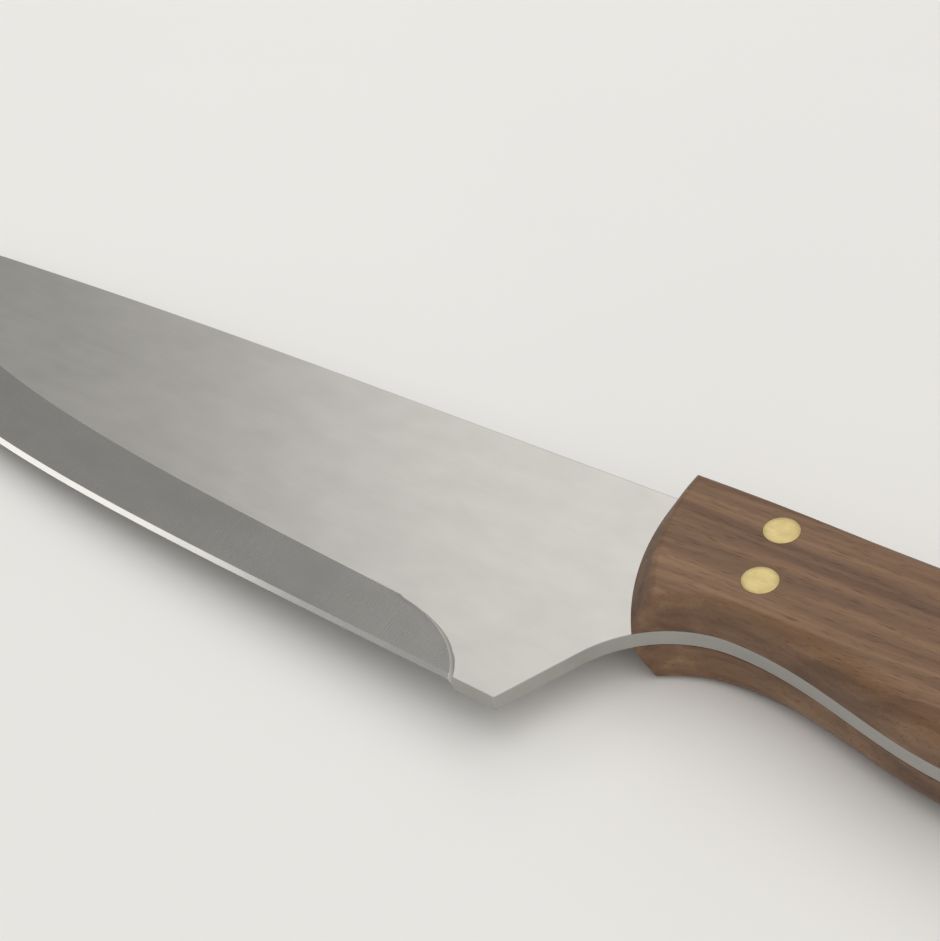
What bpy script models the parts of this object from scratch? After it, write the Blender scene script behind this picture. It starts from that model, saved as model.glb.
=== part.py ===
"""Barbecue knife: a full-tang blade between two wooden scales, held by four brass pins.

The knife lies on its side, on the flat of its lower scale. +X runs along the knife to the butt, +Y to
the spine and +Z up through its thickness. The origin is under the middle of its box, and lengths are in
metres. Shapes are drawn in the knife's own plan, whose origin is where the handle's front meets the spine.
"""
import math

import bmesh
import bpy
import numpy
from mathutils import Matrix, Vector
from mathutils.geometry import interpolate_bezier

# Blade
BLADE_LENGTH = 0.200        # from the handle's front to the tip, along the spine
STOCK = 0.0030              # thickness of the steel
HEEL_DEPTH = 0.05255        # from the spine down to the heel
HEEL_ROUND = 0.0006
TIP_DROP = 0.0048           # the tip lies this far below the spine's line
TIP_BLUNT = 0.0004          # height of the tip's tiny end face
SPINE_BEND_START = 0.060    # the spine is straight this far ahead of the handle
SPINE_POWER = 2.4           # how late the spine's drop comes
EDGE_SLOPE = 0.0552         # rise of the straight part of the edge
BELLY_POWER = 4.78          # how late the edge sweeps up to the tip

# Grinding
GRIND_WIDTH = 0.0092        # width of the ground bevel at the handle's front, square to the edge
GRIND_SPREAD = 0.0245       # growth of that width for each metre towards the tip
EDGE_BEVEL = 0.0010         # width of the sharpened bevel
BEHIND_EDGE = 0.0006        # thickness of the steel where the two bevels meet
EDGE_LIFT = 0.00035         # steel that sharpening takes off the blank's outline
PLUNGE_SETBACK = 0.0099     # the ground bevel ends this far ahead of the handle's front, at the edge
PLUNGE_RUN = 0.0234         # length over which its end curves up to the grind line
PLUNGE_ANGLE = 118.0        # direction in which that curve leaves the edge, in degrees
PLUNGE_RISE = 0.0072        # how long it keeps that direction
PLUNGE_EASE = 0.0150        # how long it follows the grind line
PLUNGE_ROUND = 0.0012       # radius of the hollow in which that end rises to the flat

# Choil and finger arc, one straight cut and one round that runs on into the handle
CHOIL_ANGLE = 66.3          # slope of the choil's straight part, in degrees
FINGER_PLACE = 0.02516      # place of the finger arc's top, behind the handle's front
FINGER_DEPTH = 0.02456      # depth of the handle there
FINGER_RADIUS = 0.0220

# Handle
HANDLE_LENGTH = 0.125       # from the front at the spine to the butt
SCALE_THICKNESS = 0.0078
FRONT_RADIUS = 0.052        # plan radius of the handle's front, struck from the spine's line
FRONT_TURN = (160.0, 240.0)     # the front is shaped between these two angles about its centre
FRONT_LEAN = 0.0047         # the front leans back this far over the scale's thickness
FRONT_SINK = 0.0019         # and its outer arc is struck this much nearer the belly than its foot
FRONT_SPARE = 0.0040        # wood ahead of the front before it is shaped
SIDE_DRAFT = 0.0002         # the sides lean in this far over the scale's thickness

# The handle's outline behind the finger arc: places, depths below the spine's line, and headings in degrees
SWELL_PLACE = 0.070         # place of the palm swell, behind the front
SWELL_DEPTH = 0.0325
WAIST_SETBACK = 0.029       # place of the waist, ahead of the butt
WAIST_DEPTH = 0.0298
WAIST_HEADING = -2.0
HOOK_SETBACK = 0.0095       # lowest place of the butt, ahead of its end
HOOK_DEPTH = 0.0358
HOOK_HEADING = 8.0
BUTT_DEPTH = 0.0178         # depth of the butt's furthest point
BUTT_HEADING = 92.0
BACK_DROP = 0.0012          # fall of the handle's back near the butt, on one shallow arc
BACK_END = 0.014            # where that is measured, ahead of the butt

# How far the outline holds its heading before and after each of those places
FINGER_EASE = 0.016
SWELL_EASE = (0.016, 0.011)
WAIST_EASE = (0.010, 0.008)
HOOK_EASE = (0.006, 0.006)
BUTT_EASE = (0.009, 0.009)
SHOULDER_EASE = 0.007

# Rounding of the scales' outer edges, from a crisp front to a full palm
FRONT_EDGE_ROUND = 0.0010
BACK_EDGE_ACROSS = (0.0012, 0.0028)
BACK_EDGE_DOWN = (0.0012, 0.0028)
BELLY_EDGE_ACROSS = (0.0012, 0.0042)
BELLY_EDGE_DOWN = (0.0014, 0.0048)
ACROSS_GROWTH = (0.020, 0.052)  # the rounding widens between these two places
DOWN_GROWTH = (0.013, 0.036)    # and deepens between these two

# Pins
PIN_RADIUS = 0.0029
FIRST_PIN = (0.0234, -0.0060)   # the front pin near the back
PAIR_STEP = (0.0027, -0.0114)   # from there to the front pin near the belly
REAR_STEP = (0.0806, -0.0030)   # from the front pair to the rear pair

# Fits
SEAT_GAP = 0.0003           # between a scale and the tang
PIN_GAP = 0.0003            # round a pin in its hole

# Fineness
CURVE_STEPS = 18
BLADE_STEPS = 48
PLUNGE_STEPS = 12
HOLLOW_STEPS = 6
ROUND_STEPS = 8
FRONT_STEPS = 48
PIN_SIDES = 48
FLAT_ANGLE = 4.0            # edges sharper than this stay crisp on the ground steel, in degrees
ROUND_ANGLE = 24.0          # and on the wood and the pins
WELD_DISTANCE = 0.000005

# Cutters
CUTTER_REACH = 0.004        # how far a cutter stands out of what it cuts
GRIND_BELOW = 0.0010        # how far the grinding reaches below the edge
GRIND_ABOVE = 0.0025        # how far its surface runs on above the grind line
ROW_CLEAR = 0.00015         # least distance between the rows of that surface

HALF_STOCK = STOCK / 2
BLADE_MIDDLE_Z = SCALE_THICKNESS + SEAT_GAP + HALF_STOCK
KNIFE_SHIFT = Vector(((BLADE_LENGTH - HANDLE_LENGTH) / 2, HEEL_DEPTH / 2, BLADE_MIDDLE_Z))


def clear_scene():
    for item in list(bpy.data.objects):
        bpy.data.objects.remove(item, do_unlink=True)


def make_collection(name):
    collection = bpy.data.collections.new(name)
    bpy.context.scene.collection.children.link(collection)
    return collection


def make_material(name, colour, metallic, roughness):
    material = bpy.data.materials.new(name)
    material.use_nodes = True
    shader = material.node_tree.nodes["Principled BSDF"]
    shader.inputs["Base Color"].default_value = (*colour, 1.0)
    shader.inputs["Metallic"].default_value = metallic
    shader.inputs["Roughness"].default_value = roughness
    return material


def smooth_share(value, low, high):
    """0 before low, 1 after high, and a smooth rise between them."""
    share = min(max((value - low) / (high - low), 0.0), 1.0)
    return share * share * (3 - 2 * share)


def between(pair, share):
    return pair[0] + (pair[1] - pair[0]) * share


def heading(degrees):
    return Vector((math.cos(math.radians(degrees)), math.sin(math.radians(degrees))))


def arc_points(centre, radius, start, end, steps):
    """Points on an arc from the angle start to the angle end, in degrees."""
    return [centre + heading(start + (end - start) * i / steps) * radius for i in range(steps + 1)]


def bezier_points(knots, steps):
    """Points along a smooth curve. A knot is (place, heading in degrees, reach before, reach after)."""
    points = []
    for (place, way, _, after), (next_place, next_way, before, _) in zip(knots, knots[1:]):
        run = interpolate_bezier(
            place.to_3d(), (place + heading(way) * after).to_3d(),
            (next_place - heading(next_way) * before).to_3d(), next_place.to_3d(), steps + 1)
        points += [point.to_2d() for point in run[(1 if points else 0):]]
    return points


def spine_point(ahead):
    """The spine, at a distance ahead of the handle's front."""
    share = max(ahead - SPINE_BEND_START, 0.0) / (BLADE_LENGTH - SPINE_BEND_START)
    return Vector((-ahead, -TIP_DROP * share ** SPINE_POWER))


def finger_centre():
    return Vector((FINGER_PLACE, -FINGER_DEPTH - FINGER_RADIUS))


def choil_end():
    """Where the choil's straight part runs into the finger arc without a corner."""
    return finger_centre() + heading(90 + CHOIL_ANGLE) * FINGER_RADIUS


def heel_corner():
    """Where the choil's straight part, carried down from the finger arc, reaches the heel's depth."""
    end = choil_end()
    return end - heading(CHOIL_ANGLE) * (end.y + HEEL_DEPTH) / math.sin(math.radians(CHOIL_ANGLE))


def belly_sweep():
    """How far the edge sweeps up at the tip, over its straight rise."""
    straight = EDGE_LIFT - HEEL_DEPTH + EDGE_SLOPE * (BLADE_LENGTH + heel_corner().x)
    return -TIP_DROP - TIP_BLUNT - straight


def edge_point(ahead):
    """The cutting edge: a straight rise from the heel, then a belly that sweeps up to the tip."""
    straight = EDGE_LIFT - HEEL_DEPTH + EDGE_SLOPE * (ahead + heel_corner().x)
    share = max(ahead, 0.0) / BLADE_LENGTH
    return Vector((-ahead, straight + belly_sweep() * share ** BELLY_POWER))


def edge_inward(ahead):
    """The unit vector in plan from the edge into the blade."""
    share = max(ahead, 0.0) / BLADE_LENGTH
    rise = EDGE_SLOPE + belly_sweep() * BELLY_POWER / BLADE_LENGTH * share ** (BELLY_POWER - 1)
    return Vector((rise, 1)).normalized()


def finger_points():
    """The finger arc from the choil round to its top."""
    return arc_points(finger_centre(), FINGER_RADIUS, 90 + CHOIL_ANGLE, 90, CURVE_STEPS)


def grip_points():
    """The handle's outline from the finger arc back along the belly, round the butt and along the back."""
    finger_top = finger_centre() + Vector((0, FINGER_RADIUS))
    back_run = HANDLE_LENGTH - BACK_END
    back_fall = math.degrees(2 * math.atan(BACK_DROP / back_run))
    knots = [
        (finger_top, 0, 0, FINGER_EASE),
        (Vector((SWELL_PLACE, -SWELL_DEPTH)), 0, *SWELL_EASE),
        (Vector((HANDLE_LENGTH - WAIST_SETBACK, -WAIST_DEPTH)), WAIST_HEADING, *WAIST_EASE),
        (Vector((HANDLE_LENGTH - HOOK_SETBACK, -HOOK_DEPTH)), HOOK_HEADING, *HOOK_EASE),
        (Vector((HANDLE_LENGTH, -BUTT_DEPTH)), BUTT_HEADING, *BUTT_EASE),
        (Vector((back_run, -BACK_DROP)), 180 - back_fall, SHOULDER_EASE, back_run / 3),
        (Vector((0, 0)), 180, back_run / 3, 0),
    ]
    return bezier_points(knots, CURVE_STEPS)


def rounded_corner(before, corner, after, radius):
    """Points of a fillet at a corner of an outline."""
    to_before = (before - corner).normalized()
    to_after = (after - corner).normalized()
    half = to_before.angle(to_after) / 2
    start = corner + to_before * radius / math.tan(half)
    end = corner + to_after * radius / math.tan(half)
    pull = 4 / 3 * math.tan((math.pi - 2 * half) / 4) * radius
    run = interpolate_bezier(
        start.to_3d(), (start - to_before * pull).to_3d(),
        (end - to_after * pull).to_3d(), end.to_3d(), ROUND_STEPS)
    return [point.to_2d() for point in run]


def blank_outline():
    """Outline of the steel before grinding: spine, tip, edge, heel, choil and the whole tang."""
    aheads = [BLADE_LENGTH * i / BLADE_STEPS for i in range(BLADE_STEPS + 1)]
    spine = [spine_point(ahead) for ahead in aheads if ahead > SPINE_BEND_START]
    drop = Vector((0, -EDGE_LIFT))
    first_free = HEEL_ROUND - heel_corner().x
    lower = [edge_point(ahead) + drop for ahead in reversed(aheads) if ahead > first_free]
    heel = rounded_corner(lower[-1], heel_corner(), choil_end(), HEEL_ROUND)
    return [spine_point(SPINE_BEND_START), *spine, *lower, *heel, *finger_points(), *grip_points()[1:]]


def plate_object(name, outline, thickness):
    """A flat outline as a filled 2D curve with a thickness, made a mesh and welded."""
    curve = bpy.data.curves.new(name, "CURVE")
    curve.dimensions = "2D"
    curve.fill_mode = "BOTH"
    curve.extrude = thickness / 2
    spline = curve.splines.new("POLY")
    spline.points.add(len(outline) - 1)
    for knot, point in zip(spline.points, outline):
        knot.co = (point.x, point.y, 0, 1)
    spline.use_cyclic_u = True
    drawn = bpy.data.objects.new(name + "_curve", curve)
    bpy.context.scene.collection.objects.link(drawn)
    bpy.context.view_layer.update()
    evaluated = drawn.evaluated_get(bpy.context.evaluated_depsgraph_get())
    mesh = bpy.data.meshes.new_from_object(evaluated)
    bpy.data.objects.remove(drawn, do_unlink=True)
    weld(mesh)
    mesh.name = name
    return bpy.data.objects.new(name, mesh)


def weld(mesh):
    shape = bmesh.new()
    shape.from_mesh(mesh)
    bmesh.ops.remove_doubles(shape, verts=shape.verts, dist=WELD_DISTANCE)
    bmesh.ops.recalc_face_normals(shape, faces=shape.faces)
    shape.to_mesh(mesh)
    shape.free()


def lofted_mesh(name, rings):
    """A closed skin through rings of equally many points, with its two ends filled."""
    shape = bmesh.new()
    loops = [[shape.verts.new(spot) for spot in ring] for ring in rings]
    for low, high in zip(loops, loops[1:]):
        for i in range(len(low)):
            shape.faces.new((low[i - 1], low[i], high[i], high[i - 1]))
    shape.faces.new(reversed(loops[0]))
    shape.faces.new(loops[-1])
    mesh = bpy.data.meshes.new(name)
    shape.to_mesh(mesh)
    shape.free()
    return mesh


def cut(target, cutter, cutters):
    """Take a cutter out of a piece, and put the cutter out of sight."""
    if cutter.name not in cutters.objects:
        cutters.objects.link(cutter)
        cutter.hide_render = True
        cutter.display_type = "WIRE"
    modifier = target.modifiers.new("cut_" + cutter.name, "BOOLEAN")
    modifier.operation = "DIFFERENCE"
    modifier.solver = "EXACT"
    modifier.object = cutter


def plunge_curve():
    """How far the grinding reaches back, as (distance above the edge, distance ahead of the front)."""
    start = Vector((-PLUNGE_SETBACK, 0))
    end = Vector((-PLUNGE_SETBACK - PLUNGE_RUN, GRIND_WIDTH + GRIND_SPREAD * (PLUNGE_SETBACK + PLUNGE_RUN)))
    knots = [(start, PLUNGE_ANGLE, 0, PLUNGE_RISE), (end, 180, PLUNGE_EASE, 0)]
    return [(point.y, -point.x) for point in bezier_points(knots, PLUNGE_STEPS)]


def ground_height(above, width):
    """Height of the ground surface over the blade's middle, at a distance above the edge."""
    if above <= EDGE_BEVEL:
        return BEHIND_EDGE / 2 * above / EDGE_BEVEL
    share = (above - EDGE_BEVEL) / (width - EDGE_BEVEL)
    return BEHIND_EDGE / 2 + (HALF_STOCK - BEHIND_EDGE / 2) * share


def grinding_columns(first):
    """Columns of the ground surface from the plunge to past the tip, as (place ahead, rise at the plunge)."""
    columns = []
    for i in range(HOLLOW_STEPS):
        turn = math.pi / 2 * i / HOLLOW_STEPS
        columns.append((first + PLUNGE_ROUND * (1 - math.cos(turn)), PLUNGE_ROUND * (1 - math.sin(turn))))
    floor = first + PLUNGE_ROUND
    run = BLADE_LENGTH + 2 * CUTTER_REACH - floor
    columns += [(floor + run * i / BLADE_STEPS, 0.0) for i in range(BLADE_STEPS + 1)]
    return columns


def grinding_cutter(name, side):
    """What the grinder takes off one side: a surface over the edge, closed above it.

    Its rows run from below the edge to above the grind line, its columns from the plunge to past the tip.
    """
    plunge = plunge_curve()
    heights = [place[0] for place in plunge]
    starts = [place[1] for place in plunge]
    between_lines = (EDGE_BEVEL + ROW_CLEAR, heights[-1] - ROW_CLEAR)
    rows = [-GRIND_BELOW, EDGE_BEVEL]
    rows += [height for height in heights if between_lines[0] < height < between_lines[1]]
    rows.append(heights[-1] + GRIND_ABOVE)
    shape = bmesh.new()
    grid = []
    for above in rows:
        first = float(numpy.interp(above, heights, starts))
        if above < 0:
            first = starts[0] - above / math.tan(math.radians(PLUNGE_ANGLE))
        line = []
        for ahead, rise in grinding_columns(first):
            width = GRIND_WIDTH + GRIND_SPREAD * ahead
            spread = width / (GRIND_WIDTH + GRIND_SPREAD * starts[-1]) if above > EDGE_BEVEL else 1
            spot = above * spread
            plan = edge_point(ahead) + edge_inward(ahead) * spot
            line.append(shape.verts.new((plan.x, plan.y, side * (ground_height(spot, width) + rise))))
        grid.append(line)
    for low, high in zip(grid, grid[1:]):
        for i in range(len(low) - 1):
            shape.faces.new((low[i], low[i + 1], high[i + 1], high[i]))
    raised = bmesh.ops.extrude_face_region(shape, geom=list(shape.faces))
    for item in raised["geom"]:
        if isinstance(item, bmesh.types.BMVert):
            item.co.z = side * (HALF_STOCK + CUTTER_REACH)
    bmesh.ops.recalc_face_normals(shape, faces=shape.faces)
    mesh = bpy.data.meshes.new(name)
    shape.to_mesh(mesh)
    shape.free()
    return bpy.data.objects.new(name, mesh)


def pin_cylinder(name, radius, depth):
    """A turned pin on the Z axis, centred on the origin."""
    mesh = bpy.data.meshes.new(name)
    shape = bmesh.new()
    bmesh.ops.create_cone(
        shape, cap_ends=True, cap_tris=False, segments=PIN_SIDES,
        radius1=radius, radius2=radius, depth=depth)
    shape.to_mesh(mesh)
    shape.free()
    return bpy.data.objects.new(name, mesh)


def pin_places():
    """The two pairs of pins in plan, the rear pair a copy of the front one further back."""
    front_back = Vector(FIRST_PIN)
    front_belly = front_back + Vector(PAIR_STEP)
    return {
        "front_back_pin": front_back,
        "front_belly_pin": front_belly,
        "rear_back_pin": front_back + Vector(REAR_STEP),
        "rear_belly_pin": front_belly + Vector(REAR_STEP),
    }


def make_hole_cutters():
    """One long cutter for each pin, through both scales and the tang."""
    depth = 2 * (BLADE_MIDDLE_Z + CUTTER_REACH)
    holes = []
    for name, place in pin_places().items():
        hole = pin_cylinder(name + "_hole", PIN_RADIUS + PIN_GAP, depth)
        hole.location = place.to_3d()
        holes.append(hole)
    return holes


def make_blade(cutters, holes):
    """Blade and tang, one piece of steel: cut from flat stock, ground and sharpened on both sides."""
    blade = plate_object("blade_and_tang", blank_outline(), STOCK)
    grindings = [grinding_cutter("upper_grinding", 1), grinding_cutter("lower_grinding", -1)]
    for cutter in (*holes, *grindings):
        cut(blade, cutter, cutters)
    return blade


def slab_outline():
    """The scale's outline before its front is shaped: the grip, carried on a little ahead of the front."""
    front_spare = Vector((-FRONT_SPARE, 0))
    return [front_spare, *finger_points(), *grip_points()[1:], front_spare / 2]


def outward_normals(outline):
    """Unit normals at the points of a closed anticlockwise outline. The spare front has none."""
    normals = []
    for i, point in enumerate(outline):
        along = (outline[(i + 1) % len(outline)] - outline[i - 1]).normalized()
        normals.append(Vector((along.y, -along.x)))
    normals[0] = normals[1] = Vector((0, 0))
    return normals


def edge_size(at_back, at_belly, belly, growth):
    """Size of the edge round: each pair holds it at the handle's front and at the full palm."""
    return between((between(at_back, growth), between(at_belly, growth)), belly)


def slab_rings():
    """Rings of a scale from the tang to its outer face: up its wall and over its growing edge round."""
    outline = slab_outline()
    normals = outward_normals(outline)
    rings = []
    for i in range(ROUND_STEPS + 2):
        angle = math.pi / 2 * max(i - 1, 0) / ROUND_STEPS
        ring = []
        for place, normal in zip(outline, normals):
            belly = (1 - normal.y) / 2
            widening = smooth_share(place.x, *ACROSS_GROWTH)
            deepening = smooth_share(place.x, *DOWN_GROWTH)
            across = edge_size(BACK_EDGE_ACROSS, BELLY_EDGE_ACROSS, belly, widening)
            down = edge_size(BACK_EDGE_DOWN, BELLY_EDGE_DOWN, belly, deepening)
            height = SCALE_THICKNESS - down * (1 - math.sin(angle)) if i else 0.0
            inward = across * (1 - math.cos(angle)) + SIDE_DRAFT * height / SCALE_THICKNESS
            plan = place - normal * inward
            ring.append((plan.x, plan.y, height))
        rings.append(ring)
    return rings


def front_cutter(name):
    """What shapes a scale's front: the section of its leaning front, turned about the front's centre."""
    centre = Vector((FRONT_RADIUS, 0))
    outer = (choil_end() - centre).length + CUTTER_REACH
    foot = -SEAT_GAP
    top = SCALE_THICKNESS + CUTTER_REACH
    lean = FRONT_LEAN / SCALE_THICKNESS
    profile = [(outer, top), (outer, foot), (FRONT_RADIUS - lean * foot, foot)]
    for i in range(ROUND_STEPS + 1):
        angle = math.pi / 2 * i / ROUND_STEPS
        height = SCALE_THICKNESS - FRONT_EDGE_ROUND * (1 - math.sin(angle))
        profile.append((FRONT_RADIUS - lean * height - FRONT_EDGE_ROUND * (1 - math.cos(angle)), height))
    profile.append((profile[-1][0] - CUTTER_REACH, top))
    shape = bmesh.new()
    section = shape.faces.new([shape.verts.new((radius, 0, height)) for radius, height in profile])
    start, end = map(math.radians, FRONT_TURN)
    bmesh.ops.rotate(shape, verts=shape.verts, cent=(0, 0, 0), matrix=Matrix.Rotation(start, 3, "Z"))
    bmesh.ops.spin(
        shape, geom=[section, *section.edges, *section.verts], cent=(0, 0, 0), axis=(0, 0, 1),
        angle=end - start, steps=FRONT_STEPS, use_duplicate=False)
    for corner in shape.verts:
        corner.co.x += FRONT_RADIUS
        corner.co.y -= FRONT_SINK * corner.co.z / SCALE_THICKNESS
    bmesh.ops.recalc_face_normals(shape, faces=shape.faces)
    mesh = bpy.data.meshes.new(name)
    shape.to_mesh(mesh)
    shape.free()
    return bpy.data.objects.new(name, mesh)


def make_scale(name, side, cutters, holes):
    """One wooden scale: a slab raised from its outline, with its front and its pin holes cut."""
    scale = bpy.data.objects.new(name, lofted_mesh(name, slab_rings()))
    front = front_cutter(name + "_front")
    for piece in (scale, front):
        for corner in piece.data.vertices:
            corner.co.z = side * (HALF_STOCK + SEAT_GAP + corner.co.z)
        weld(piece.data)
    for cutter in (front, *holes):
        cut(scale, cutter, cutters)
    return scale


def make_pins():
    """Brass pins through the handle, flush with the outer faces of both scales."""
    pins = []
    for name, place in pin_places().items():
        pin = pin_cylinder(name, PIN_RADIUS, 2 * BLADE_MIDDLE_Z)
        pin.location = place.to_3d()
        pins.append(pin)
    return pins


def finish(piece, parts, origin, material, sharp):
    """Put a piece in the knife, with its material and its crisp edges."""
    parts.objects.link(piece)
    piece.parent = origin
    piece.data.materials.clear()
    piece.data.materials.append(material)
    piece.data.shade_smooth()
    piece.data.set_sharp_from_angle(angle=math.radians(sharp))


def build():
    clear_scene()
    parts = make_collection("barbecue_knife")
    cutters = make_collection("cutters")
    steel = make_material("satin_steel", (0.56, 0.55, 0.53), 1.0, 0.36)
    walnut = make_material("oiled_walnut", (0.16, 0.075, 0.034), 0.0, 0.5)
    brass = make_material("brass", (0.72, 0.52, 0.24), 1.0, 0.38)
    origin = bpy.data.objects.new("knife_origin", None)
    origin.location = KNIFE_SHIFT
    parts.objects.link(origin)
    holes = make_hole_cutters()
    finish(make_blade(cutters, holes), parts, origin, steel, FLAT_ANGLE)
    finish(make_scale("upper_scale", 1, cutters, holes), parts, origin, walnut, ROUND_ANGLE)
    finish(make_scale("lower_scale", -1, cutters, holes), parts, origin, walnut, ROUND_ANGLE)
    for pin in make_pins():
        finish(pin, parts, origin, brass, ROUND_ANGLE)
    for cutter in cutters.objects:
        cutter.parent = origin


build()
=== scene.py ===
"""Looks of the barbecue knife: satin steel, oiled walnut and brass, on a pale floor under soft light.

Lengths are in metres, in the row frame: +X to the butt, +Y to the spine, +Z up through the thickness.
"""
import math

import bmesh
import bpy
from mathutils import Matrix, Vector


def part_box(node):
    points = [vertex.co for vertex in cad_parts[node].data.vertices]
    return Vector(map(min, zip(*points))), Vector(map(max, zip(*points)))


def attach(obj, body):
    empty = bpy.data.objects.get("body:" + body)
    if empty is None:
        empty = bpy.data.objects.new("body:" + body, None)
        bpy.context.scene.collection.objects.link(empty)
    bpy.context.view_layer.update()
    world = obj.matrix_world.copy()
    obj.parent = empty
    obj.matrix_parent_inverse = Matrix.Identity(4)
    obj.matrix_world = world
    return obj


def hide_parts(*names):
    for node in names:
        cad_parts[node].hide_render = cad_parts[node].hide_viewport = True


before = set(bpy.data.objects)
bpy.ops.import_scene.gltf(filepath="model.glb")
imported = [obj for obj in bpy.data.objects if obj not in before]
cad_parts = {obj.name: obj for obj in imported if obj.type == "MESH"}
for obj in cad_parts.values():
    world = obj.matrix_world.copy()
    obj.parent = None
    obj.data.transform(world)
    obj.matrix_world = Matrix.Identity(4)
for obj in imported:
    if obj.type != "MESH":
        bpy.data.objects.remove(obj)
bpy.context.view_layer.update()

# Fine geometry
MERGE = 0.000005            # points closer than this are one
BEVEL_MERGE = MERGE / 10    # and closer than this where edges were just broken
STEEL_BREAK = 0.00016       # break of the steel's square edges
WOOD_BREAK = 0.00014        # break of the wood's edges along the tang
BREAK_STEPS = 2
JOINT_LINE = 0.00004        # gap left between wood and steel
PIN_GAP = 0.000015          # gap left round a pin
PIN_SWELL = 0.00012         # a pin's radius is larger than its node's by this, so it fills its hole
PIN_PROUD = 0.00002         # a pin stands this far out of the wood
PIN_CHAMFER = 0.00005       # breadth of the chamfer round a pin's end
PIN_DOME = 0.000008         # rise of a pin's end above its chamfer
PIN_RINGS = (0.35, 0.3)     # insets of the rings over which it rises, in radii
PIN_SIDES = 96
PIN_END = 0.999             # upward part of the normals of a pin's end is above this
HOLE_REACH = 1.2            # a corner within so many radii of a pin's axis is on the wall of its hole
FLAT_ANGLE = 1              # faces that meet at less than this, in degrees, are one flat side
SQUARE_EDGE = 60            # faces that meet at more than this make a square edge
SMOOTH_ANGLE = 34           # faces that meet at less than this are shaded as one surface

# Finishes of the blade, in the order of its material slots
FLAT, GROUND, HONED, RIM, PLUNGE = range(5)
STEELS = (
    {"name": "satin_flat", "colour": (0.560, 0.547, 0.524), "roughness": 0.34,
     "lines": (45, 2600, 2600), "depth": 0.000006},
    {"name": "ground_bevel", "colour": (0.465, 0.455, 0.437), "roughness": 0.27,
     "lines": (2800, 70, 70), "depth": 0.000001, "marks": 0.055},
    {"name": "honed_edge", "colour": (0.700, 0.688, 0.668), "roughness": 0.18,
     "lines": (5200, 120, 120), "depth": 0.000001, "marks": 0.10, "cloudiness": 0.02},
    # the rim's colour is darker than the flat's partly for its hazier belt finish and partly as painted
    # shade, standing in for the shade the rim and the tang's edge lie in
    {"name": "belt_finished_rim", "colour": (0.420, 0.409, 0.390), "roughness": 0.40,
     "lines": (120, 900, 3000), "depth": 0.000006},
    # the plunge hollow is rougher than the ground bevel, and its lighter colour is painted light that
    # lifts the dark reflection in the hollow
    {"name": "plunge_hollow", "colour": (0.640, 0.624, 0.595), "roughness": 0.55,
     "lines": (1500, 1500, 1500), "depth": 0.000002},
)
RIM_NORMAL = 0.2            # upward part of the normals of the rim is below this
PLUNGE_NORMAL = 0.93        # and in the hollow where the grinding ends it is below this
HONED_HEIGHT = 0.0003       # the middle of a honed face is nearer the blade's middle plane than this
CLOUD_CELLS = (38, 55, 55)          # pattern cells for each metre along each axis
MOTTLE_CELLS = (140, 240, 240)
GRAIN_CELLS = (1900, 1900, 1900)
CLOUD_SHOWS = 0.10                  # how much these patterns lighten and darken the steel
MOTTLE_SHOWS = 0.24
GRAIN_HEIGHT = 0.35                 # height of the fine grain beside that of the finishing lines
STEEL_DARK = 0.86                   # darkest and lightest steel, as shares of a finish's colour
STEEL_LIGHT = 1.12

# Walnut and brass
WALNUT_CELLS = {            # pattern cells for each metre along each axis
    "sway": (16, 60, 60),
    "bands": (9, 330, 210),
    "streaks": (30, 900, 700),
    "fibres": (110, 3600, 3200),
    "pores": (300, 5200, 4600),
}
SWAY_Y = 0.0045             # how far the grain wanders
SWAY_Z = 0.0030
BANDS_SHARE = 0.58          # shares of the patterns in the wood's tone
STREAKS_SHARE = 0.27
FIBRES_SHARE = 0.15
FIBRE_HEIGHT = 0.4          # height of the fibres beside the depth of the pores
PORES_SHOW = 0.55
WALNUT_ROUGHNESS = 0.47
WALNUT_DEPTH = 0.00005      # of its pores
WALNUT_TONES = (            # from the darkest bands to the lightest
    (0.10, (0.075, 0.0335, 0.016)),
    (0.36, (0.131, 0.065, 0.032)),
    (0.60, (0.193, 0.103, 0.051)),
    (0.88, (0.285, 0.167, 0.086)),
)
PORE_COLOUR = (0.045, 0.020, 0.010, 1.0)
UPPER_WOOD = (3.77, 0.296, 0.369)       # where each scale is sawn from the walnut's pattern
LOWER_WOOD = (0.74, 0.263, 0.131)
BRASS_CELLS = (260, 5200, 5200)
BRASS_TONES = ((0.30, (0.55, 0.44, 0.20)), (0.70, (0.69, 0.57, 0.28)))
TARNISH_CELLS = (420, 420, 420)
TARNISH_SHOWS = 0.35
TARNISH_COLOUR = (0.47, 0.34, 0.15, 1.0)
BRASS_ROUGHNESS = 0.34
BRASS_DEPTH = 0.00001       # of its scratches

# Camera, fitted to the photograph, with its angles in degrees
FRAME_SIDE = 941            # pixels
FOCAL_PIXELS = 2611
SENSOR = 36                 # millimetres
CAMERA_AZIMUTH = 40.872
CAMERA_ELEVATION = 41.076
CAMERA_ROLL = -8.733
CAMERA_AIM = (-0.035403, -0.010583)     # on the blade's upper flat, from PLAN_ORIGIN
CAMERA_DISTANCE = 0.446038
CLIP_START = 0.01

# Studio
FLOOR_SIZE = 40.0
FLOOR_CLEARANCE = 0.0001
FLOOR_CELLS = (6, 6, 6)
FLOOR_TONES = ((0.3, (0.815, 0.807, 0.793)), (0.7, (0.838, 0.830, 0.816)))
FLOOR_ROUGHNESS = 0.75
TIP_REST = 0.005            # the blade's flat touches the floor this far behind the tip
FRONT_REST = 0.006          # and the lower scale's flat this far behind the scale's front
WORLD_COLOUR = (1.0, 0.99, 0.97, 1.0)
WORLD_LEVEL = 0.38          # the world's brightness overhead
HORIZON_LEVEL = 0.70        # and at the horizon, where it meets the pale floor
HORIZON_HEIGHT = 0.34       # the sine of the height at which it has fallen to its level overhead
LAMP_COLOUR = (1.0, 0.985, 0.96)
LAMPS = {                   # azimuth from +Y towards +X and height in degrees, distance, size, power
    "soft_box": (-30, 45, 1.0, (0.48, 0.58), 0.90),
    "side_box": (-92, 43, 1.0, (0.30, 0.37), 0.36),
}
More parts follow.
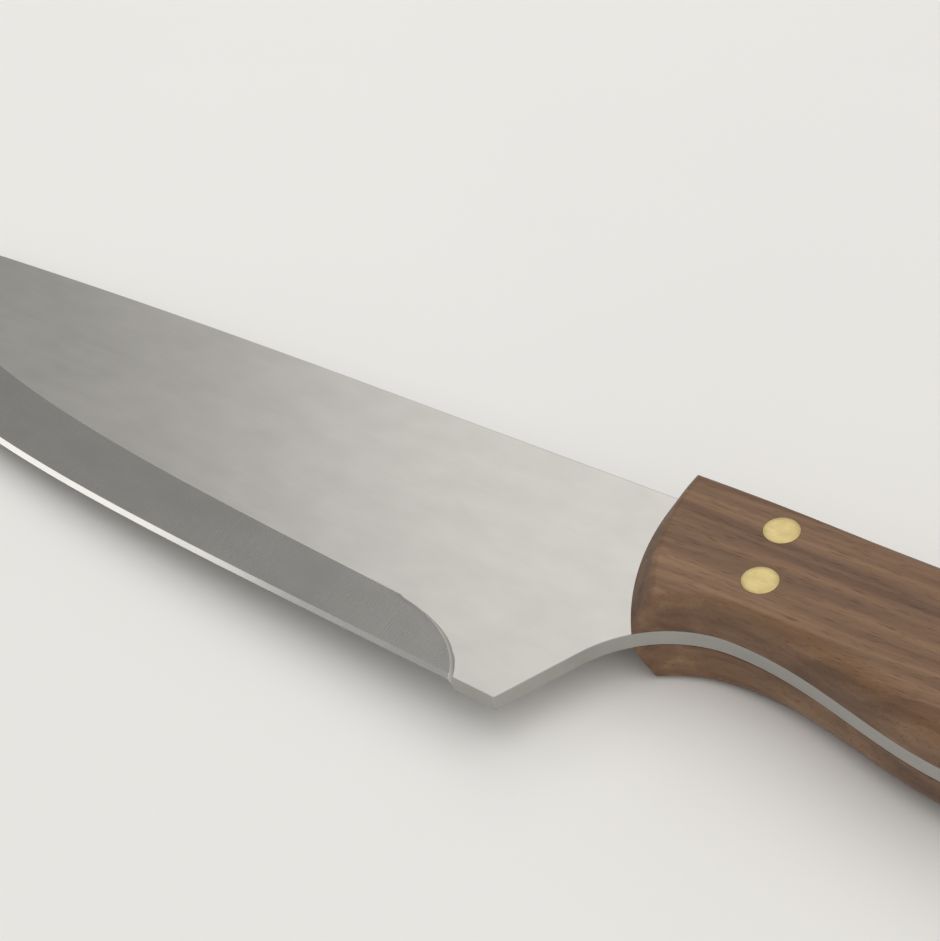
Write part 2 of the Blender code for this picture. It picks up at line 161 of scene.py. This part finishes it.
SKYLIGHT = (94, 60, 2.0, 96, 1.78)  # azimuth, height, distance, breadth in degrees, light

# Shader nodes
NOISE_MIDDLE = 0.5
MIX_SHARE, MIX_FROM, MIX_TO = 0, 6, 7       # a Mix node's colour sockets, whose names aren't unique
MIX_RESULT = 2

# Places in the frame
steel_low, steel_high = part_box("blade_and_tang")
upper_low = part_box("upper_scale")[0]
lower_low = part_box("lower_scale")[0]
STEEL_MIDDLE = (steel_low.z + steel_high.z) / 2
PLAN_ORIGIN = Vector((upper_low.x, steel_high.y, steel_high.z))     # handle's front at the spine
AIM_POINT = PLAN_ORIGIN + Vector((*CAMERA_AIM, 0))
PINS = ("front_back_pin", "front_belly_pin", "rear_back_pin", "rear_belly_pin")


# Selecting and editing

def activate(piece):
    """Makes a piece the only one selected."""
    bpy.ops.object.select_all(action="DESELECT")
    piece.select_set(True)
    bpy.context.view_layer.objects.active = piece


def edit(piece, mode):
    """Opens a piece in edit mode with nothing selected. mode is VERT, EDGE or FACE."""
    activate(piece)
    bpy.ops.object.mode_set(mode="EDIT")
    bpy.ops.mesh.select_mode(type=mode)
    bpy.ops.mesh.select_all(action="DESELECT")


def leave():
    """Back to object mode."""
    bpy.ops.object.mode_set(mode="OBJECT")


def pick(piece, kind, wanted):
    """Selects the verts, edges or faces of the piece in edit mode for which wanted is true."""
    shape = bmesh.from_edit_mesh(piece.data)
    for item in getattr(shape, kind):
        if wanted(item):
            item.select_set(True)
    bmesh.update_edit_mesh(piece.data)


def at_level(spot, level):
    """Whether a place is at that height."""
    return abs(spot.z - level) < MERGE


def merged_copy(node, name):
    """A new piece with a CAD node's form, its loose triangles joined."""
    piece = bpy.data.objects.new(name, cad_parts[node].data.copy())
    bpy.context.scene.collection.objects.link(piece)
    edit(piece, "VERT")
    bpy.ops.mesh.select_all(action="SELECT")
    bpy.ops.mesh.remove_doubles(threshold=MERGE)
    leave()
    bpy.ops.mesh.customdata_custom_splitnormals_clear()
    piece.data.materials.clear()
    return piece


def flatten(piece, *levels):
    """Makes the piece's sides at these heights truly flat, with as few faces as they need."""
    for level in levels:
        edit(piece, "VERT")
        pick(piece, "verts", lambda corner: at_level(corner.co, level))
        bpy.ops.transform.resize(value=(1, 1, 0), center_override=(0, 0, level))
        bpy.ops.mesh.select_mode(type="FACE")
        bpy.ops.mesh.select_all(action="DESELECT")
        pick(piece, "faces", lambda face: all(at_level(corner.co, level) for corner in face.verts))
        bpy.ops.mesh.dissolve_limited(angle_limit=math.radians(FLAT_ANGLE))
        leave()


def break_edges(piece, width, wanted, finish=-1):
    """A fine round on the square edges for which wanted is true.

    finish is its material slot, and -1 goes on with that of the faces beside it.
    """
    edit(piece, "EDGE")
    square = math.radians(SQUARE_EDGE)
    pick(piece, "edges", lambda edge: edge.calc_face_angle(0) > square and wanted(edge))
    bpy.ops.mesh.bevel(
        offset=width, segments=BREAK_STEPS, affect="EDGES", clamp_overlap=False, material=finish)
    bpy.ops.mesh.select_all(action="SELECT")
    bpy.ops.mesh.remove_doubles(threshold=BEVEL_MERGE)
    leave()


def smooth(piece, sharp_edges=None):
    """Smooth shading with crisp square edges, led by the large faces.

    The edges for which sharp_edges is true are crisp as well.
    """
    activate(piece)
    bpy.ops.object.shade_smooth_by_angle(angle=math.radians(SMOOTH_ANGLE))
    if sharp_edges:
        edit(piece, "EDGE")
        pick(piece, "edges", sharp_edges)
        bpy.ops.mesh.mark_sharp()
        leave()
    weighted = piece.modifiers.new("weighted", "WEIGHTED_NORMAL")
    weighted.keep_sharp = True
    bpy.ops.object.modifier_apply(modifier=weighted.name)


def seat(piece, slot, *nodes):
    """The piece stands for its CAD nodes and moves with the knife."""
    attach(piece, "root")
    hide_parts(*nodes)


# Materials

class Shade:
    """A shader socket that can be used in Python sums."""

    def __init__(self, tree, socket):
        self.tree = tree
        self.socket = socket

    def make(self, kind, settings=(), inputs=(), output=0):
        """Adds a node of that type, with its settings and the values or links of its sockets."""
        node = self.tree.nodes.new(kind)
        for key, value in dict(settings).items():
            if key == "stops":
                set_stops(node.color_ramp, value)
            else:
                setattr(node, key, value)
        fill(node, self.tree, dict(inputs))
        return Shade(self.tree, node.outputs[output])

    def math(self, operation, first, second):
        """Adds a Math node on two values or sockets."""
        return self.make("ShaderNodeMath", {"operation": operation}, {0: first, 1: second})

    def __add__(self, other):
        return self.math("ADD", self, other)

    def __radd__(self, other):
        return self.math("ADD", other, self)

    def __sub__(self, other):
        return self.math("SUBTRACT", self, other)

    def __rsub__(self, other):
        return self.math("SUBTRACT", other, self)

    def __mul__(self, other):
        return self.math("MULTIPLY", self, other)

    def __rmul__(self, other):
        return self.math("MULTIPLY", other, self)

    def stretched(self, x, y, z):
        """These coordinates with so many pattern cells for each metre along each axis."""
        return self.make("ShaderNodeMapping", {}, {"Vector": self, "Scale": (x, y, z)})

    def noise(self, detail=2.0, roughness=0.5):
        """Soft noise on these coordinates, from 0 to 1."""
        inputs = {"Vector": self, "Scale": 1.0, "Detail": detail, "Roughness": roughness}
        return self.make("ShaderNodeTexNoise", {}, inputs)

    def spread(self, low, high):
        """0 below low, 1 above high, and even between them."""
        return self.make("ShaderNodeMapRange", {}, {"Value": self, "From Min": low, "From Max": high})

    def ramp(self, *stops):
        """A colour for each value, from (place, colour) stops."""
        return self.make("ShaderNodeValToRGB", {"stops": stops}, {"Fac": self})

    def shifted(self, offset):
        """These coordinates moved by an offset."""
        return self.make("ShaderNodeMapping", {}, {"Vector": self, "Location": offset})

    def swayed(self, along_y, along_z):
        """These coordinates pushed along Y and Z by two patterns."""
        push = self.make("ShaderNodeCombineXYZ", {}, {"Y": along_y, "Z": along_z})
        return self.make("ShaderNodeVectorMath", {"operation": "ADD"}, {0: self, 1: push})

    def swing(self, amount):
        """How far this noise is from its middle, times an amount."""
        return (self - NOISE_MIDDLE) * amount

    def tint(self, share, colour):
        """This colour mixed with another by a share."""
        inputs = {MIX_SHARE: share, MIX_FROM: self, MIX_TO: colour}
        return self.make("ShaderNodeMix", {"data_type": "RGBA"}, inputs, MIX_RESULT)


def set_stops(ramp, stops):
    """Gives a colour ramp its stops."""
    while len(ramp.elements) < len(stops):
        ramp.elements.new(1.0)
    for element, (place, colour) in zip(ramp.elements, stops):
        element.position = place
        element.color = (*colour, 1.0)


def new_material(name):
    """A material, its Principled node and the piece's own coordinates."""
    material = bpy.data.materials.new(name)
    material.use_nodes = True
    tree = material.node_tree
    start = Shade(tree, None)
    coordinates = start.make("ShaderNodeTexCoord", output="Object")
    return material, tree.nodes["Principled BSDF"], coordinates


def fill(node, tree, sockets):
    """Gives a node's sockets their values or links."""
    for key, value in sockets.items():
        if isinstance(value, Shade):
            tree.links.new(value.socket, node.inputs[key])
        else:
            node.inputs[key].default_value = value


def bump(height, strength, depth):
    """A Normal from a height, whose full range is so many metres deep."""
    inputs = {"Height": height, "Strength": strength, "Distance": depth}
    return height.make("ShaderNodeBump", {}, inputs)


def steel(name, colour, roughness, lines, depth, marks=0.16, cloudiness=0.05):
    """Bare steel with fine finishing lines, faintly mottled.

    lines gives the pattern cells for each metre along each axis, depth the lines' depth, marks how much
    they show, and cloudiness how much the roughness changes over the piece.
    """
    material, shader, place = new_material(name)
    scratches = place.stretched(*lines).noise(detail=4.0, roughness=0.6)
    cloud = place.stretched(*CLOUD_CELLS).noise(detail=3.0)
    mottle = place.stretched(*MOTTLE_CELLS).noise(detail=2.0)
    grain = place.stretched(*GRAIN_CELLS).noise(detail=1.0)
    shade = scratches.swing(marks) + cloud.swing(CLOUD_SHOWS) + mottle.swing(MOTTLE_SHOWS)
    level = shade + NOISE_MIDDLE
    dark = [channel * STEEL_DARK for channel in colour]
    light = [min(channel * STEEL_LIGHT, 1.0) for channel in colour]
    fill(shader, material.node_tree, {
        "Metallic": 1.0,
        "Base Color": level.ramp((0.3, dark), (0.7, light)),
        "Roughness": cloud.swing(cloudiness) + scratches.swing(marks * 0.6) + roughness,
        "Normal": bump(scratches + grain * GRAIN_HEIGHT, strength=0.5, depth=depth),
    })
    return material


def walnut(name, offset):
    """Oiled walnut with its grain along the handle: growth bands, fibres and short dark pores."""
    material, shader, place = new_material(name)
    log = place.shifted(offset)
    sway = log.stretched(*WALNUT_CELLS["sway"]).noise(detail=2.0)
    bent = log.swayed(sway * SWAY_Y, sway * SWAY_Z)
    bands = bent.stretched(*WALNUT_CELLS["bands"]).noise(detail=2.5, roughness=0.55)
    streaks = bent.stretched(*WALNUT_CELLS["streaks"]).noise(detail=3.0, roughness=0.6)
    fibres = bent.stretched(*WALNUT_CELLS["fibres"]).noise(detail=2.0, roughness=0.6)
    pores = bent.stretched(*WALNUT_CELLS["pores"]).noise(detail=1.0).spread(0.60, 0.74)
    broad = bands.spread(0.26, 0.74) * BANDS_SHARE + streaks.spread(0.25, 0.75) * STREAKS_SHARE
    tone = broad + fibres * FIBRES_SHARE
    fill(shader, material.node_tree, {
        "Base Color": tone.ramp(*WALNUT_TONES).tint(pores * PORES_SHOW, PORE_COLOUR),
        "Roughness": fibres.swing(0.14) + pores * 0.16 + WALNUT_ROUGHNESS,
        "Normal": bump(fibres * FIBRE_HEIGHT - pores, strength=0.55, depth=WALNUT_DEPTH),
    })
    return material


def brass(name):
    """Brass sanded flush with the wood, with fine lengthwise scratches and a little tarnish."""
    material, shader, place = new_material(name)
    scratches = place.stretched(*BRASS_CELLS).noise(detail=3.0, roughness=0.6)
    tarnish = place.stretched(*TARNISH_CELLS).noise(detail=3.0).spread(0.42, 0.75)
    fill(shader, material.node_tree, {
        "Metallic": 1.0,
        "Base Color": scratches.ramp(*BRASS_TONES).tint(tarnish * TARNISH_SHOWS, TARNISH_COLOUR),
        "Roughness": scratches.swing(0.16) + tarnish * 0.08 + BRASS_ROUGHNESS,
        "Normal": bump(scratches, strength=0.5, depth=BRASS_DEPTH),
    })
    return material


# Pieces

def finish_of(face):
    """Finish that a face of the blade gets, from its place and lean."""
    if abs(face.normal.z) < RIM_NORMAL:
        return RIM
    if abs(face.normal.z) < PLUNGE_NORMAL:
        return PLUNGE
    height = abs(face.center.z - STEEL_MIDDLE)
    if height > steel_high.z - STEEL_MIDDLE - MERGE:
        return FLAT
    return HONED if height < HONED_HEIGHT else GROUND


def finishes(edge):
    """Finishes that meet at an edge of the blade."""
    return {face.material_index for face in edge.link_faces}


def make_blade():
    """Blade and tang, with broken edges, and with a finish of its own on each zone: the rim's colour
    holds painted shade and the plunge hollow's painted light.
    """
    blade = merged_copy("blade_and_tang", "steel_blade")
    flatten(blade, steel_low.z, steel_high.z)
    for finish in STEELS:
        blade.data.materials.append(steel(**finish))
    for face in blade.data.polygons:
        face.material_index = finish_of(face)
    break_edges(blade, STEEL_BREAK, lambda edge: finishes(edge) == {FLAT, RIM}, RIM)
    smooth(blade, lambda edge: len(finishes(edge)) == 2 and finishes(edge) != {GROUND, PLUNGE})
    seat(blade, "satin_steel", "blade_and_tang")


def pin_axis(name):
    """Centre and radius of a pin in plan."""
    low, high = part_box(name)
    return (low + high) / 2, (high.x - low.x) / 2 + PIN_SWELL


def off_axis(spot, centre):
    """Distance in plan from a pin's axis."""
    return (spot - centre).to_2d().length


def make_scale(node, name, offset):
    """A wooden scale, closed up to the tang and to its pins, with its edges along the tang broken."""
    scale = merged_copy(node, name)
    low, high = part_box(node)
    above = low.z > STEEL_MIDDLE
    inner = low.z if above else high.z
    target = steel_high.z + JOINT_LINE if above else steel_low.z - JOINT_LINE
    flatten(scale, low.z, high.z)
    edit(scale, "VERT")
    pick(scale, "verts", lambda corner: at_level(corner.co, inner))
    bpy.ops.transform.translate(value=(0, 0, target - inner))
    leave()
    axes = [pin_axis(pin) for pin in PINS]
    for centre, radius in axes:
        edit(scale, "VERT")
        pick(scale, "verts", lambda corner: off_axis(corner.co, centre) < radius * HOLE_REACH)
        corners = bmesh.from_edit_mesh(scale.data).verts
        wall = max(off_axis(corner.co, centre) for corner in corners if corner.select)
        share = (radius + PIN_GAP) / wall
        bpy.ops.transform.resize(value=(share, share, 1), center_override=centre)
        leave()

    def broken(edge):
        spots = [corner.co for corner in edge.verts]
        in_hole = any(
            off_axis(spot, centre) < radius * HOLE_REACH for centre, radius in axes for spot in spots)
        return not in_hole and all(at_level(spot, target) for spot in spots)

    break_edges(scale, WOOD_BREAK, broken)
    scale.data.materials.append(walnut(name + "_walnut", offset))
    smooth(scale)
    seat(scale, "oiled_walnut", node)


def make_pin(name, material):
    """A brass pin through the handle, chamfered, with slightly domed ends."""
    centre, radius = pin_axis(name)
    low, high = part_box(name)
    bpy.ops.mesh.primitive_cylinder_add(
        vertices=PIN_SIDES, radius=radius, depth=high.z - low.z + 2 * PIN_PROUD, location=centre)
    pin = bpy.context.object
    pin.name = "brass_" + name
    pin.data.name = pin.name
    bpy.ops.object.transform_apply(location=True, rotation=True, scale=True)
    break_edges(pin, PIN_CHAMFER, lambda edge: True)
    for side in (1, -1):
        edit(pin, "FACE")
        pick(pin, "faces", lambda face: face.normal.z * side > PIN_END)
        for share in PIN_RINGS:
            bpy.ops.mesh.inset(thickness=radius * share)
            bpy.ops.transform.translate(value=(0, 0, side * PIN_DOME / len(PIN_RINGS)))
        leave()
    pin.data.materials.append(material)
    smooth(pin)
    seat(pin, "brass", name)


# Studio

def direction(azimuth, height):
    """Unit vector with that azimuth, from +Y towards +X, and that height, in degrees."""
    around, above = math.radians(azimuth), math.radians(height)
    reach = math.cos(above)
    return Vector((math.sin(around) * reach, math.cos(around) * reach, math.sin(above)))


def make_camera():
    """The photograph's camera: its long side is the frame's height. Azimuth 0 looks along +Y."""
    azimuth, roll = math.radians(CAMERA_AZIMUTH), math.radians(CAMERA_ROLL)
    back = direction(180 - CAMERA_AZIMUTH, CAMERA_ELEVATION)
    level_right = Vector((math.cos(azimuth), math.sin(azimuth), 0))
    level_up = back.cross(level_right)
    right = level_right * math.cos(roll) + level_up * math.sin(roll)
    up = level_up * math.cos(roll) - level_right * math.sin(roll)
    eye = AIM_POINT + back * CAMERA_DISTANCE
    data = bpy.data.cameras.new("camera")
    data.sensor_width = SENSOR
    data.lens = SENSOR * FOCAL_PIXELS / FRAME_SIDE
    data.clip_start = CLIP_START
    camera = bpy.data.objects.new("camera", data)
    camera.matrix_world = Matrix.Translation(eye) @ Matrix((right, up, back)).transposed().to_4x4()
    bpy.context.scene.collection.objects.link(camera)
    bpy.context.scene.camera = camera


def floor_tilt():
    """The knife tips on to its tip, so the floor leans this much against the lower scale's flat.

    Also gives the place of the handle's front rest, about which it leans.
    """
    front = lower_low.x + FRONT_REST
    rise = steel_low.z - FLOOR_CLEARANCE
    return math.atan(rise / (front - steel_low.x - TIP_REST)), front


def make_floor():
    """A plain pale floor under the handle's front and the tip."""
    tilt, front = floor_tilt()
    bpy.ops.object.select_all(action="DESELECT")
    bpy.ops.mesh.primitive_plane_add(
        size=FLOOR_SIZE, location=(front, 0, -FLOOR_CLEARANCE), rotation=(0, tilt, 0))
    floor = bpy.context.object
    floor.name = "floor"
    material, shader, place = new_material("pale_floor")
    mottle = place.stretched(*FLOOR_CELLS).noise(detail=3.0)
    fill(shader, material.node_tree, {
        "Base Color": mottle.ramp(*FLOOR_TONES),
        "Roughness": FLOOR_ROUGHNESS,
    })
    floor.data.materials.append(material)


def make_lamp(name, kind, azimuth, height, distance, power):
    """A lamp in that direction from the camera's aim, and turned to it."""
    away = direction(azimuth, height)
    data = bpy.data.lights.new(name, kind)
    data.energy = power
    data.color = LAMP_COLOUR
    lamp = bpy.data.objects.new(name, data)
    lamp.location = AIM_POINT + away * distance
    lamp.rotation_euler = away.to_track_quat("Z", "Y").to_euler()
    bpy.context.scene.collection.objects.link(lamp)
    return data


def make_lights():
    """Soft lamps, a broad even skylight, and a world that is pale at the horizon."""
    for name, (azimuth, height, distance, size, power) in LAMPS.items():
        lamp = make_lamp(name, "AREA", azimuth, height, distance, power)
        lamp.shape = "RECTANGLE"
        lamp.size, lamp.size_y = size
    azimuth, height, distance, breadth, power = SKYLIGHT
    make_lamp("skylight", "SUN", azimuth, height, distance, power).angle = math.radians(breadth)
    world = bpy.data.worlds.new("world")
    bpy.context.scene.world = world
    world.use_nodes = True
    start = Shade(world.node_tree, None)
    outward = start.make("ShaderNodeTexCoord", output="Generated")
    rise = start.make("ShaderNodeSeparateXYZ", {}, {"Vector": outward}, output="Z")
    level = rise.spread(0, HORIZON_HEIGHT) * (WORLD_LEVEL - HORIZON_LEVEL) + HORIZON_LEVEL
    background = world.node_tree.nodes["Background"]
    fill(background, world.node_tree, {"Color": WORLD_COLOUR, "Strength": level})


make_camera()
make_blade()
make_scale("upper_scale", "upper_walnut_scale", UPPER_WOOD)
make_scale("lower_scale", "lower_walnut_scale", LOWER_WOOD)
pin_brass = brass("sanded_brass")
for pin_name in PINS:
    make_pin(pin_name, pin_brass)
make_floor()
make_lights()
bpy.context.scene.view_settings.view_transform = "Standard"
